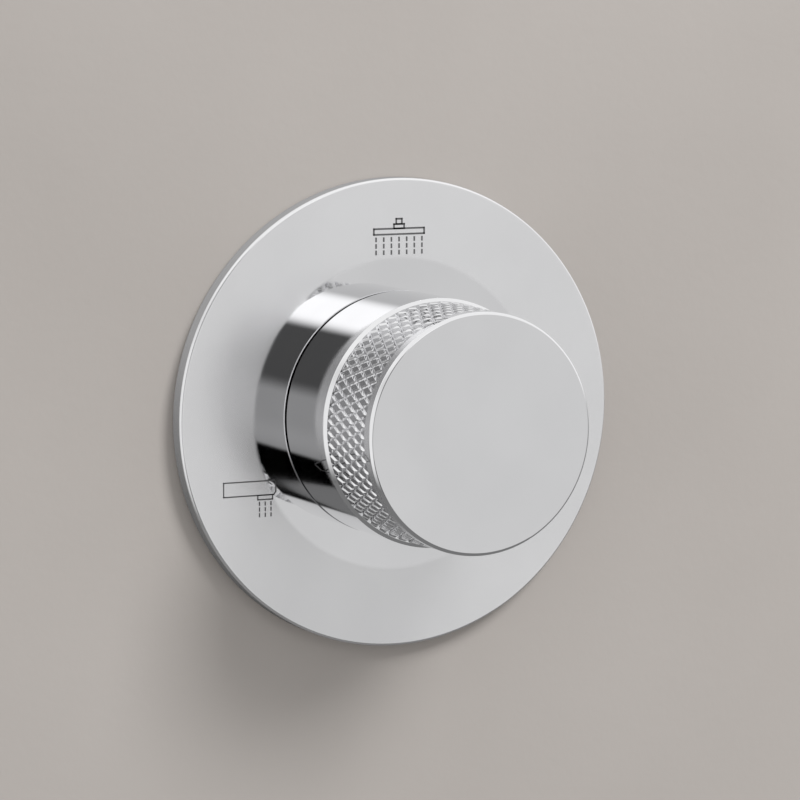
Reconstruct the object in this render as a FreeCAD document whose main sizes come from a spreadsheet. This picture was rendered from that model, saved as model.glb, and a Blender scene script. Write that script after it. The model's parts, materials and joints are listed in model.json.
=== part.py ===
"""Concealed two-way shower diverter: knurled knob and plate on the wall, cartridge and body inside it.

Each piece is drawn with x to the right, y up and z out of the wall, and is then turned
so that z points out of the wall along -Y. The origin is the centre of the plate's back face.
"""
import FreeCAD, Part
import Sketcher
import math
import os
import re

V = FreeCAD.Vector

# How far a cutting tool runs past the face that it opens
OVERCUT = 1.0
# How near to each other the knurl's points are taken as one
POINT_TOLERANCE = 0.001

# Driving dimensions, in millimetres, degrees and counts
SIZES = {
    # Fits shared by many pieces
    "slip": 0.05,
    "film": 0.05,
    "run_gap": 0.3,
    # Plate on the wall
    "plate_radius": 40.0,
    "plate_thickness": 3.0,
    "plate_bevel": 0.55,
    "gasket_width": 4.4,
    "gasket_depth": 1.0,
    "gasket_margin": 1.5,
    "plate_seal_radius": 0.75,
    # Knob
    "knob_gap": 0.4,
    "knob_reach": 31.7,
    "knob_wall": 2.45,
    "knob_room": 0.7,
    "knob_front": 3.5,
    "face_bevel": 0.55,
    "front_land": 1.7,
    "skirt_edge": 0.25,
    "knurl_step": 0.9,
    "knurl_count": 64,
    "knurl_rows": 6,
    "knurl_row_height": 2.27,
    "knurl_depth": 0.42,
    "knurl_relief": 0.04,
    "groove_share": 0.19,
    "boss_wall": 4.0,
    "boss_end_gap": 1.0,
    # Spline insert and set screw
    "insert_wall": 2.4,
    "insert_length": 24.0,
    "insert_flange": 2.0,
    "stop_lug_angle": 30.0,
    "screw_radius": 2.5,
    "screw_length": 6.5,
    "screw_height": 9.0,
    "screw_socket": 1.45,
    "screw_socket_depth": 3.0,
    # Spindle
    "spindle_radius": 5.0,
    "spindle_flange_radius": 7.8,
    "spindle_flange": 2.4,
    "spline_tip": 4.6,
    "spline_depth": 0.4,
    "spline_teeth": 20,
    "spline_length": 22.0,
    "screw_groove": 0.3,
    "tongue_width": 3.9,
    "tongue_length": 12.0,
    "tongue_height": 1.4,
    "stem_seal_radius": 0.6,
    "stem_seal_height": 9.0,
    "stem_seal_pitch": 4.0,
    "clip_thickness": 1.0,
    "clip_bite": 0.7,
    "clip_width": 2.7,
    "clip_opening": 50.0,
    "washer_thickness": 0.8,
    # Ceramic discs and their carrier
    "disc_radius": 9.0,
    "fixed_disc_thickness": 3.2,
    "moving_disc_thickness": 3.0,
    "disc_step": 0.4,
    "port_radius": 2.4,
    "port_pitch": 5.0,
    "window_radius": 2.9,
    "turn_angle": 120.0,
    "carrier_thickness": 3.2,
    "dog_width": 2.6,
    "dog_length": 12.0,
    "dog_height": 1.0,
    "key_width": 2.0,
    "key_depth": 1.0,
    # Cartridge
    "cartridge_wall": 1.75,
    "base_floor": 3.0,
    "base_rim": 1.5,
    "port_seal_radius": 0.6,
    "housing_roof": 4.0,
    "housing_neck_wall": 3.0,
    "neck_flat": 1.0,
    "neck_lip": 0.5,
    "window_width": 8.0,
    "window_margin": 0.3,
    "body_seal_depth": 1.2,
    # Gland nut and stop ring
    "gland_step": 1.0,
    "gland_length": 12.0,
    "gland_hex_lip": 1.0,
    "gland_hex_height": 4.0,
    "stop_room": 1.5,
    "stop_base": 3.0,
    "stop_wall": 2.5,
    "stop_height": 5.4,
    "stop_margin": 1.5,
    # Sleeve and plate nut
    "neck_wall": 2.1,
    "sleeve_wall": 1.8,
    "sleeve_lip": 1.5,
    "nut_wall": 2.0,
    "nut_height": 4.0,
    "nut_notch": 3.0,
    # Valve body
    "seat_depth": 44.0,
    "block_lip": 1.5,
    "block_cover": 0.7,
    "floor_thickness": 2.5,
    "passage_radius": 5.0,
    "passage_web": 1.5,
    "inlet_radius": 6.0,
    "block_floor": 6.0,
    "boss_radius": 13.0,
    "boss_reach": 36.0,
    "collar_lip": 2.6,
    "collar_length": 10.0,
    "thread_radius": 9.4,
    "thread_length": 15.0,
    "ear_radius": 6.5,
    "ear_reach": 7.7,
    "ear_thickness": 6.0,
    "ear_hole": 2.75,
    "ear_angle": 45.0,
}

# Radii, from the disc outwards
DISC_POCKET_R = "(disc_radius + slip)"
MOVING_R = "(disc_radius - disc_step)"
CARTRIDGE_R = f"({DISC_POCKET_R} + cartridge_wall)"
BODY_BORE_R = f"({CARTRIDGE_R} + slip)"
GLAND_R = f"({BODY_BORE_R} + gland_step)"
NECK_R = f"({GLAND_R} + neck_wall)"
SLEEVE_BORE_R = f"({NECK_R} + slip)"
SLEEVE_R = f"({SLEEVE_BORE_R} + sleeve_wall)"
BLOCK_R = f"({SLEEVE_R} + block_lip)"
PLATE_BORE_R = f"({SLEEVE_R} + slip)"
NUT_R = f"({SLEEVE_R} + nut_wall)"
SKIRT_BORE_R = f"({NUT_R} + knob_room)"
SKIRT_R = f"({SKIRT_BORE_R} + knob_wall)"
LAND_R = f"({SKIRT_R} - knurl_step)"
STOP_R = f"({SLEEVE_BORE_R} - stop_room)"
STOP_INNER_R = f"({STOP_R} - stop_wall)"
BEARING_R = "(spindle_radius + slip)"
CLIP_BORE_R = "(spindle_radius - clip_bite)"
HOUSING_NECK_R = f"({BEARING_R} + housing_neck_wall)"
INSERT_BORE_R = "(spline_tip + slip)"
INSERT_R = f"({INSERT_BORE_R} + insert_wall)"
KNOB_BOSS_R = f"({INSERT_R} + slip + boss_wall)"
SCREW_HOLE_R = "(screw_radius + slip)"
SPLINE_ROOT_R = "(spline_tip - spline_depth)"
SCREW_TIP_R = f"({SPLINE_ROOT_R} - screw_groove)"
EAR_PITCH_R = f"({BLOCK_R} + ear_reach)"
PORT_SEAL_R = "(port_radius + port_seal_radius + slip)"
PORT_SEAL_SEAT_R = f"({PORT_SEAL_R} + port_seal_radius + slip)"

# Heights above the wall, from the cartridge's seat outwards
SEAT_Z = "(-seat_depth)"
DISC_Z = f"({SEAT_Z} + base_floor)"
RIM_Z = f"({DISC_Z} + base_rim)"
DISC_TOP_Z = f"({DISC_Z} + fixed_disc_thickness)"
MOVING_Z = f"({DISC_TOP_Z} + film)"
CARRIER_Z = f"({MOVING_Z} + moving_disc_thickness)"
FLANGE_Z = f"({CARRIER_Z} + carrier_thickness)"
WASHER_Z = f"({FLANGE_Z} + spindle_flange)"
ROOF_Z = f"({WASHER_Z} + washer_thickness + film)"
SHOULDER_Z = f"({ROOF_Z} + housing_roof)"
GLAND_HEX_Z = f"({SHOULDER_Z} + gland_length)"
NECK_TOP_Z = f"({GLAND_HEX_Z} - run_gap)"
STOP_Z = f"({GLAND_HEX_Z} + gland_hex_height)"
STOP_TOP_Z = f"({STOP_Z} + stop_base)"
HOUSING_TOP_Z = f"({STOP_TOP_Z} + neck_lip)"
CLIP_Z = f"({HOUSING_TOP_Z} + film)"
INSERT_Z = f"({STOP_TOP_Z} + stop_height + run_gap)"
INSERT_BODY_Z = f"({INSERT_Z} + insert_flange)"
INSERT_TOP_Z = f"({INSERT_Z} + insert_length)"
INLET_Z = f"(({DISC_TOP_Z} + {FLANGE_Z}) / 2)"
BLOCK_TOP_Z = f"({INLET_Z} + boss_radius + block_cover)"
OUTLET_Z = f"({SEAT_Z} - floor_thickness - passage_radius)"
BLOCK_Z = f"({OUTLET_Z} - passage_radius - block_floor)"
SKIRT_Z = "(plate_thickness + knob_gap)"
FACE_Z = "(plate_thickness + knob_reach)"
FACE_EDGE_Z = f"({FACE_Z} - face_bevel)"
KNURL_FRONT_Z = f"({FACE_EDGE_Z} - front_land)"
KNURL_BACK_Z = f"({KNURL_FRONT_Z} - knurl_rows * knurl_row_height)"
SKIRT_TOP_Z = f"({KNURL_BACK_Z} - knurl_step)"
KNOB_INNER_Z = f"({FACE_Z} - knob_front)"
SCREW_Z = "(plate_thickness + screw_height)"
SLEEVE_TOP_Z = "(plate_thickness + nut_height + sleeve_lip)"

# The two ports lie a full turn of the knob apart, level with each other
FIRST_PORT = "(90 - turn_angle / 2)"
SECOND_PORT = "(90 + turn_angle / 2)"

# Directions that a cylinder can be laid in
OUT = FreeCAD.Rotation()
DOWN = FreeCAD.Rotation(V(1, 0, 0), 90)
RIGHT = FreeCAD.Rotation(V(0, 1, 0), 90)
LEFT = FreeCAD.Rotation(V(0, 1, 0), -90)
FRAME = FreeCAD.Placement(V(0, 0, 0), FreeCAD.Rotation(V(1, 0, 0), 90))

doc = FreeCAD.newDocument("shower_diverter")
sheet = doc.addObject("Spreadsheet::Sheet", "sizes")
for line, (alias, size) in enumerate(SIZES.items(), start=1):
    sheet.set(f"A{line}", alias)
    sheet.set(f"B{line}", str(size))
    sheet.setAlias(f"B{line}", alias)
doc.recompute()

subparts = []


def bound(text):
    """The expression with each size named as a cell of the sheet."""
    return re.sub(r"[a-z]\w*", lambda word: f"sizes.{word[0]}" if word[0] in SIZES else word[0], text)


def number(text):
    """The present value of an expression."""
    return float(sheet.evalExpression(text))


def subpart(piece, label, placement=FRAME):
    """Name a finished piece and set it in the common frame."""
    piece.Label = label
    piece.Placement = placement
    subparts.append(piece)


def outline(body, role, points, name):
    """A closed sketch of straight lines through points given as pairs of expressions."""
    plane = next(feature for feature in body.Origin.OriginFeatures if feature.Role == role)
    sketch = body.newObject("Sketcher::SketchObject", name)
    sketch.AttachmentSupport = [(plane, "")]
    sketch.MapMode = "FlatFace"
    corners = [V(number(across), number(along), 0) for across, along in points]
    for index, corner in enumerate(corners):
        sketch.addGeometry(Part.LineSegment(corner, corners[(index + 1) % len(corners)]))
    for index in range(len(corners)):
        sketch.addConstraint(Sketcher.Constraint("Coincident", index, 2, (index + 1) % len(corners), 1))
    for index, (across, along) in enumerate(points):
        place_corner(sketch, index, "DistanceX", across, corners[index].x, -2)
        place_corner(sketch, index, "DistanceY", along, corners[index].y, -1)
    return sketch


def place_corner(sketch, index, kind, text, value, axis):
    """Bind one coordinate of a corner, or hold it on the axis where it is zero."""
    if text == "0":
        sketch.addConstraint(Sketcher.Constraint("PointOnObject", index, 1, axis))
        return
    constraint = sketch.addConstraint(Sketcher.Constraint(kind, -1, 1, index, 1, value))
    sketch.setExpression(f"Constraints[{constraint}]", bound(text))


def turned(name, points):
    """A body turned about the spindle's axis from an outline of radii and heights."""
    body = doc.addObject("PartDesign::Body", name)
    sketch = outline(body, "XZ_Plane", points, f"{name}_outline")
    turn = body.newObject("PartDesign::Revolution", f"{name}_turn")
    turn.Profile = sketch
    turn.ReferenceAxis = (sketch, ["V_Axis"])
    turn.Angle = 360
    return body


def ring(name, inner, outer, bottom, top):
    """A plain turned ring."""
    return turned(name, [(inner, bottom), (outer, bottom), (outer, top), (inner, top)])


def splined(name, tip, root, bottom, height):
    """A prism with pointed teeth round its edge."""
    body = doc.addObject("PartDesign::Body", name)
    points = []
    for tooth in range(int(number("spline_teeth"))):
        for radius, step in ((tip, tooth), (root, tooth + 0.5)):
            angle = f"{step} * 360 / spline_teeth"
            points.append((f"{radius} * cos({angle})", f"{radius} * sin({angle})"))
    pad = body.newObject("PartDesign::Pad", f"{name}_pad")
    pad.Profile = outline(body, "XY_Plane", points, f"{name}_outline")
    pad.setExpression("Length", bound(height))
    body.setExpression("Placement.Base.z", bound(bottom))
    return body


def place(piece, base, rotation):
    """Set a primitive's corner or centre by expressions."""
    piece.Placement.Rotation = rotation
    for axis, text in zip("xyz", base):
        piece.setExpression(f"Placement.Base.{axis}", bound(text))


def cylinder(name, radius, height, base=("0", "0", "0"), rotation=OUT, sweep="360"):
    """A cylinder, or a sector of one, from its base centre along its direction."""
    piece = doc.addObject("Part::Cylinder", name)
    piece.setExpression("Radius", bound(radius))
    piece.setExpression("Height", bound(height))
    piece.setExpression("Angle", bound(sweep))
    place(piece, base, rotation)
    return piece


def bar(name, length, width, height, bottom, start="0", angle=0.0):
    """A bar whose middle line starts at a distance from the axis and runs out at an angle."""
    piece = doc.addObject("Part::Box", name)
    piece.setExpression("Length", bound(length))
    piece.setExpression("Width", bound(width))
    piece.setExpression("Height", bound(height))
    across = f"({width}) / 2"
    along = (f"({start}) * cos({angle}) + {across} * sin({angle})",
             f"({start}) * sin({angle}) - {across} * cos({angle})", bottom)
    place(piece, along, OUT)
    piece.setExpression("Placement.Rotation.Angle", bound(str(angle)))
    return piece


def hexagon(name, corner_radius, height, base, rotation=OUT):
    """A six-sided prism from its base centre along its direction."""
    piece = doc.addObject("Part::Prism", name)
    piece.Polygon = 6
    piece.setExpression("Circumradius", bound(corner_radius))
    piece.setExpression("Height", bound(height))
    place(piece, base, rotation)
    return piece


def torus(name, radius, section, base):
    """A round rubber ring."""
    piece = doc.addObject("Part::Torus", name)
    piece.setExpression("Radius1", bound(radius))
    piece.setExpression("Radius2", bound(section))
    place(piece, base, OUT)
    return piece


def joined(name, pieces):
    """One solid from several."""
    result = doc.addObject("Part::MultiFuse", name)
    result.Shapes = pieces
    result.Refine = True
    return result


def cut(name, base, tools):
    """A solid with one or more tools taken out of it."""
    result = doc.addObject("Part::Cut", name)
    result.Base = base
    result.Tool = tools[0] if len(tools) == 1 else joined(f"{name}_tools", tools)
    result.Refine = True
    return result


def group(name, solids):
    """Separate solids kept in one node."""
    result = doc.addObject("Part::Compound", name)
    result.Links = solids
    return result


def at_angle(radius, angle, height):
    """A place by radius and angle, as three expressions."""
    return (f"{radius} * cos({angle})", f"{radius} * sin({angle})", height)


def make_plate():
    """Plate with a bevelled front edge, a seal groove in its bore and a gasket recess behind."""
    half_groove = "(plate_seal_radius + slip)"
    groove_r = f"({SLEEVE_R} + 2 * plate_seal_radius)"
    recess_r = "(plate_radius - gasket_margin)"
    recess_inner_r = f"({recess_r} - gasket_width - 2 * slip)"
    plate = turned("escutcheon_plate", [
        (PLATE_BORE_R, "0"),
        (recess_inner_r, "0"),
        (recess_inner_r, "gasket_depth"),
        (recess_r, "gasket_depth"),
        (recess_r, "0"),
        ("plate_radius", "0"),
        ("plate_radius", "plate_thickness - plate_bevel"),
        ("plate_radius - plate_bevel", "plate_thickness"),
        (PLATE_BORE_R, "plate_thickness"),
        (PLATE_BORE_R, f"plate_thickness / 2 + {half_groove}"),
        (groove_r, f"plate_thickness / 2 + {half_groove}"),
        (groove_r, f"plate_thickness / 2 - {half_groove}"),
        (PLATE_BORE_R, f"plate_thickness / 2 - {half_groove}"),
    ])
    subpart(plate, "escutcheon_plate")
    gasket_r = f"({recess_r} - slip)"
    gasket = ring("plate_gasket", f"{gasket_r} - gasket_width", gasket_r, "0", "gasket_depth")
    subpart(gasket, "plate_gasket")
    seal = torus("plate_seal_ring", f"{SLEEVE_R} + plate_seal_radius", "plate_seal_radius",
                 ("0", "0", "plate_thickness / 2"))
    subpart(group("plate_seal_node", [seal]), "plate_seal")


def make_plate_nut():
    """Ring nut with four key notches in its front."""
    top = "plate_thickness + nut_height"
    blank = ring("plate_nut_blank", f"{SLEEVE_R} + slip", NUT_R, "plate_thickness", top)
    notches = [
        bar(f"plate_nut_notch_{angle}", f"2 * ({NUT_R} + {OVERCUT})", "nut_notch", "nut_height",
            "plate_thickness + nut_height / 2", f"-{NUT_R} - {OVERCUT}", angle)
        for angle in (45, 135)
    ]
    subpart(cut("plate_nut_notched", blank, notches), "plate_nut")


def make_sleeve():
    """Tube that stands on the body's shoulder and carries plate and nut."""
    subpart(ring("extension_sleeve", SLEEVE_BORE_R, SLEEVE_R, BLOCK_TOP_Z, SLEEVE_TOP_Z), "extension_sleeve")


def knurl_mesh(crest, root, back, row_height, rows, count, groove):
    """Flat-topped diamonds between two families of helical V grooves, as points, triangles and end rings.

    Along each row line run a groove crossing, then the left, middle and right of a diamond's widest part.
    """
    points = []
    places = {}

    def point(kind, line, index):
        shift, rise, radius = {
            "crossing": (0.0, 0.0, root),
            "left": (groove, 0.0, crest),
            "middle": (0.5, 0.0, crest),
            "right": (1.0 - groove, 0.0, crest),
            "upper": (0.5, 1.0 - 2.0 * groove, crest),
            "lower": (0.0, 2.0 * groove, crest),
        }[kind]
        key = (kind, line, index % count)
        if key not in places:
            angle = 2.0 * math.pi * (index + shift + 0.5 * (line % 2)) / count
            height = back + (line + rise) * row_height
            places[key] = len(points)
            points.append(V(radius * math.cos(angle), radius * math.sin(angle), height))
        return places[key]

    triangles = []
    for line in range(rows):
        for index in range(count):
            above = index - 1 + line % 2
            crossing = point("crossing", line, index)
            lower = point("lower", line, index)
            left, middle, right, upper = (
                point(kind, line, index) for kind in ("left", "middle", "right", "upper"))
            last_right, last_upper = (point(kind, line, index - 1) for kind in ("right", "upper"))
            high_left, high_middle, high_right = (
                point(kind, line + 1, above) for kind in ("left", "middle", "right"))
            cross_left = point("crossing", line + 1, above)
            cross_right = point("crossing", line + 1, above + 1)
            triangles += [
                (left, middle, upper), (middle, right, upper),
                (lower, high_middle, high_left), (lower, high_right, high_middle),
                (crossing, left, upper), (crossing, upper, cross_right),
                (crossing, cross_right, high_right), (crossing, high_right, lower),
                (crossing, lower, high_left), (crossing, high_left, cross_left),
                (crossing, cross_left, last_upper), (crossing, last_upper, last_right),
            ]
    rings = []
    for line in (0, rows):
        order = [point(kind, line, index) for index in range(count)
                 for kind in ("crossing", "left", "middle", "right")]
        rings.append([points[place] for place in order + order[:1]])
    return points, triangles, rings


def revolved_faces(profile):
    """The faces swept by an open line of radii and heights about the spindle's axis."""
    corners = [V(number(radius), 0, number(height)) for radius, height in profile]
    wire = Part.makePolygon(corners)
    return wire.revolve(V(0, 0, 0), V(0, 0, 1), 360).Faces


def knob_shape():
    """The knob's closed skin: turned faces joined to the knurl, with the way to the set screw drilled."""
    front = [
        (LAND_R, KNURL_FRONT_Z),
        (LAND_R, FACE_EDGE_Z),
        (f"{LAND_R} - face_bevel", FACE_Z),
        ("0", FACE_Z),
    ]
    boss_bore = f"({INSERT_R} + slip)"
    inside = [
        ("0", f"{INSERT_TOP_Z} + boss_end_gap"),
        (boss_bore, f"{INSERT_TOP_Z} + boss_end_gap"),
        (boss_bore, INSERT_BODY_Z),
        (KNOB_BOSS_R, INSERT_BODY_Z),
        (KNOB_BOSS_R, KNOB_INNER_Z),
        (SKIRT_BORE_R, KNOB_INNER_Z),
        (SKIRT_BORE_R, SKIRT_Z),
        (f"{SKIRT_R} - skirt_edge", SKIRT_Z),
        (SKIRT_R, f"{SKIRT_Z} + skirt_edge"),
        (SKIRT_R, SKIRT_TOP_Z),
        (LAND_R, KNURL_BACK_Z),
    ]
    crest = number(f"{LAND_R} - knurl_relief")
    points, triangles, rings = knurl_mesh(
        crest, crest - number("knurl_depth"), number(KNURL_BACK_Z), number("knurl_row_height"),
        int(number("knurl_rows")), int(number("knurl_count")), number("groove_share"))
    knurl = Part.Shape()
    knurl.makeShapeFromMesh((points, triangles), POINT_TOLERANCE)
    ends = []
    for loop in rings:
        rim = Part.Wire(Part.makeCircle(number(LAND_R), V(0, 0, loop[0].z), V(0, 0, 1)))
        ends.append(Part.makeFace([rim, Part.makePolygon(loop)], "Part::FaceMakerBullseye"))
    skin = Part.Compound(revolved_faces(front) + revolved_faces(inside) + knurl.Faces + ends)
    skin.sewShape()
    solid = Part.Solid(skin.Shells[0])
    if solid.Volume < 0:
        solid.reverse()
    drill_start = V(0, 0, number(SCREW_Z))
    drill = Part.makeCylinder(number(SCREW_HOLE_R), number(SKIRT_R) + OVERCUT, drill_start, V(0, -1, 0))
    return solid.cut(drill)


def make_knob():
    """Knob with skirt, chamfer, knurl, front land and bevelled face in one piece."""
    knob = doc.addObject("Part::Feature", "knob")
    knob.Shape = knob_shape()
    subpart(knob, "knob")


def make_insert():
    """Splined insert in the knob's boss, with the lug that meets the stop ring."""
    blank = turned("insert_blank", [
        ("0", INSERT_Z),
        (STOP_R, INSERT_Z),
        (STOP_R, INSERT_BODY_Z),
        (INSERT_R, INSERT_BODY_Z),
        (INSERT_R, INSERT_TOP_Z),
        ("0", INSERT_TOP_Z),
    ])
    lug_z = f"({STOP_TOP_Z} + run_gap)"
    lug_height = f"({INSERT_Z} - {lug_z} + insert_flange / 2)"
    lug = sector("insert_lug", lug_z, lug_height, f"{FIRST_PORT} - stop_lug_angle / 2", "stop_lug_angle")
    spline = splined("insert_spline", INSERT_BORE_R, f"({SPLINE_ROOT_R} + slip)", f"{INSERT_Z} - slip",
                     "insert_length + 2 * slip")
    drill = cylinder("insert_drill", SCREW_HOLE_R, f"{INSERT_R} + slip", ("0", "0", SCREW_Z), DOWN)
    subpart(cut("insert_cut", joined("insert_joined", [blank, lug]), [spline, drill]), "spline_insert")


def sector(name, bottom, height, start, sweep):
    """A curved wall between the stop ring's two radii, over part of a turn."""
    outer = cylinder(f"{name}_outer", STOP_R, height, ("0", "0", bottom), sweep=sweep)
    outer.setExpression("Placement.Rotation.Angle", bound(start))
    inner = cylinder(f"{name}_inner", STOP_INNER_R, height, ("0", "0", bottom))
    return cut(f"{name}_wall", outer, [inner])


def make_set_screw():
    """Grub screw with a hexagon socket, modelled upright and laid in the boss pointing at the spindle."""
    blank = turned("screw_blank", [
        ("0", "0"),
        ("screw_radius - screw_groove", "0"),
        ("screw_radius", "screw_groove"),
        ("screw_radius", "screw_length"),
        ("0", "screw_length"),
    ])
    socket_z = "screw_length - screw_socket_depth"
    socket = hexagon("screw_socket_cut", "screw_socket", "screw_socket_depth", ("0", "0", socket_z))
    screw = cut("screw_cut", blank, [socket])
    seat = V(0, -number(SCREW_TIP_R), number(SCREW_Z))
    subpart(screw, "set_screw", FRAME.multiply(FreeCAD.Placement(seat, DOWN)))


def make_spindle():
    """Spindle with a tongue, a flange, two seal grooves, a clip groove and a splined end."""
    groove_r = "(spindle_radius - 2 * stem_seal_radius)"
    half_groove = "(stem_seal_radius + slip)"
    stem_top = f"{INSERT_Z} - run_gap"
    profile = [
        ("0", FLANGE_Z),
        ("spindle_flange_radius", FLANGE_Z),
        ("spindle_flange_radius", WASHER_Z),
        ("spindle_radius", WASHER_Z),
    ]
    for middle in stem_seal_heights():
        profile += groove(groove_r, f"{middle} - {half_groove}", f"{middle} + {half_groove}")
    profile += groove(CLIP_BORE_R, CLIP_Z, f"{CLIP_Z} + clip_thickness")
    profile += [("spindle_radius", stem_top), ("0", stem_top)]
    stem = turned("spindle_stem", profile)
    tongue = bar("spindle_tongue", "tongue_length", "tongue_width", "tongue_height + spindle_flange / 2",
                 f"{FLANGE_Z} - tongue_height", "-tongue_length / 2", f"({FIRST_PORT} + 90)")
    spline_z = f"{INSERT_Z} - 2 * run_gap"
    spline = splined("spindle_spline", "spline_tip", SPLINE_ROOT_R, spline_z, "spline_length")
    seat = ring("spindle_screw_seat", SCREW_TIP_R, "spindle_radius + slip",
                f"{SCREW_Z} - {SCREW_HOLE_R}", f"{SCREW_Z} + {SCREW_HOLE_R}")
    subpart(cut("spindle_cut", joined("spindle_joined", [stem, tongue, spline]), [seat]), "spindle")


def groove(radius, bottom, top):
    """The four corners of a groove round the spindle."""
    return [("spindle_radius", bottom), (radius, bottom), (radius, top), ("spindle_radius", top)]


def stem_seal_heights():
    """The middle heights of the spindle's two rubber rings."""
    first = f"({ROOF_Z} + stem_seal_height)"
    return [first, f"({first} + stem_seal_pitch)"]


def make_spindle_fittings():
    """Rubber rings, open clip and low-friction washer on the spindle."""
    middle_r = "spindle_radius - stem_seal_radius"
    seals = [
        torus(f"spindle_seal_{index}", middle_r, "stem_seal_radius", ("0", "0", height))
        for index, height in enumerate(stem_seal_heights(), start=1)
    ]
    subpart(group("spindle_seal_group", seals), "spindle_seals")
    outer = cylinder("clip_outer", f"{CLIP_BORE_R} + clip_width", "clip_thickness", ("0", "0", CLIP_Z),
                     sweep="360 - clip_opening")
    inner = cylinder("clip_inner", CLIP_BORE_R, "clip_thickness", ("0", "0", CLIP_Z))
    subpart(cut("clip_cut", outer, [inner]), "spindle_clip")
    washer = ring("thrust_washer", "spindle_radius + slip", "spindle_flange_radius - slip",
                  WASHER_Z, f"{WASHER_Z} + washer_thickness")
    subpart(washer, "thrust_washer")


def water_window(name, bottom, height):
    """A round-ended opening over the first port, out to the edge."""
    end = cylinder(f"{name}_end", "window_radius", height, at_angle("port_pitch", FIRST_PORT, bottom))
    way = bar(f"{name}_way", "disc_radius", "2 * window_radius", height, bottom, "port_pitch", FIRST_PORT)
    return [end, way]


def make_carrier():
    """Driver with a slot for the spindle's tongue above and a dog for the moving disc below."""
    across = f"({FIRST_PORT} + 90)"
    blank = cylinder("carrier_blank", MOVING_R, "carrier_thickness", ("0", "0", CARRIER_Z))
    slot = bar("carrier_slot", "2 * disc_radius", "tongue_width + 2 * slip", "tongue_height + slip",
               f"{FLANGE_Z} - tongue_height - slip", "-disc_radius", across)
    openings = water_window("carrier_window", CARRIER_Z, "carrier_thickness")
    slotted = cut("carrier_slotted", blank, [slot] + openings)
    dog = bar("carrier_dog", "dog_length", "dog_width", "dog_height + slip", f"{CARRIER_Z} - dog_height",
              "-dog_length / 2", across)
    subpart(joined("carrier_joined", [slotted, dog]), "disc_carrier")


def make_moving_disc():
    """Ceramic disc with one window and a slot for the carrier's dog."""
    blank = cylinder("moving_blank", MOVING_R, "moving_disc_thickness", ("0", "0", MOVING_Z))
    slot = bar("moving_slot", "2 * disc_radius", "dog_width + 2 * slip", "dog_height + slip",
               f"{CARRIER_Z} - dog_height - slip", "-disc_radius", f"({FIRST_PORT} + 90)")
    openings = water_window("moving_window", MOVING_Z, "moving_disc_thickness")
    subpart(cut("moving_cut", blank, [slot] + openings), "moving_disc")


def port_drills(name, bottom, height, radius="port_radius"):
    """Two upright drills, one at each port."""
    return [
        cylinder(f"{name}_{index}", radius, height, at_angle("port_pitch", angle, bottom))
        for index, angle in enumerate((FIRST_PORT, SECOND_PORT), start=1)
    ]


def make_fixed_disc():
    """Ceramic disc with both ports and a key notch at its lower edge."""
    blank = cylinder("fixed_blank", "disc_radius", "fixed_disc_thickness", ("0", "0", DISC_Z))
    notch = bar("fixed_notch", "2 * key_depth", "key_width + 2 * slip", "fixed_disc_thickness", DISC_Z,
                "disc_radius - key_depth - slip", -90)
    drills = port_drills("fixed_port", DISC_Z, "fixed_disc_thickness")
    subpart(cut("fixed_cut", blank, drills + [notch]), "fixed_disc")


def make_cartridge_base():
    """Floor of the cartridge: pocket and key for the fixed disc, ports with seal seats below."""
    blank = turned("base_blank", [
        ("0", SEAT_Z),
        (CARTRIDGE_R, SEAT_Z),
        (CARTRIDGE_R, RIM_Z),
        (DISC_POCKET_R, RIM_Z),
        (DISC_POCKET_R, DISC_Z),
        ("0", DISC_Z),
    ])
    key = bar("base_key", "key_depth + cartridge_wall / 2", "key_width", "base_rim", DISC_Z,
              "disc_radius - key_depth", -90)
    drills = port_drills("base_port", SEAT_Z, "base_floor")
    seats = port_drills("base_seal_seat", SEAT_Z, "2 * port_seal_radius", PORT_SEAL_SEAT_R)
    subpart(cut("base_cut", joined("base_joined", [blank, key]), drills + seats), "cartridge_base")
    seals = [
        torus(f"port_seal_{index}", PORT_SEAL_R, "port_seal_radius",
              at_angle("port_pitch", angle, f"{SEAT_Z} + port_seal_radius"))
        for index, angle in enumerate((FIRST_PORT, SECOND_PORT), start=1)
    ]
    subpart(group("port_seal_group", seals), "port_seals")


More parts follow.
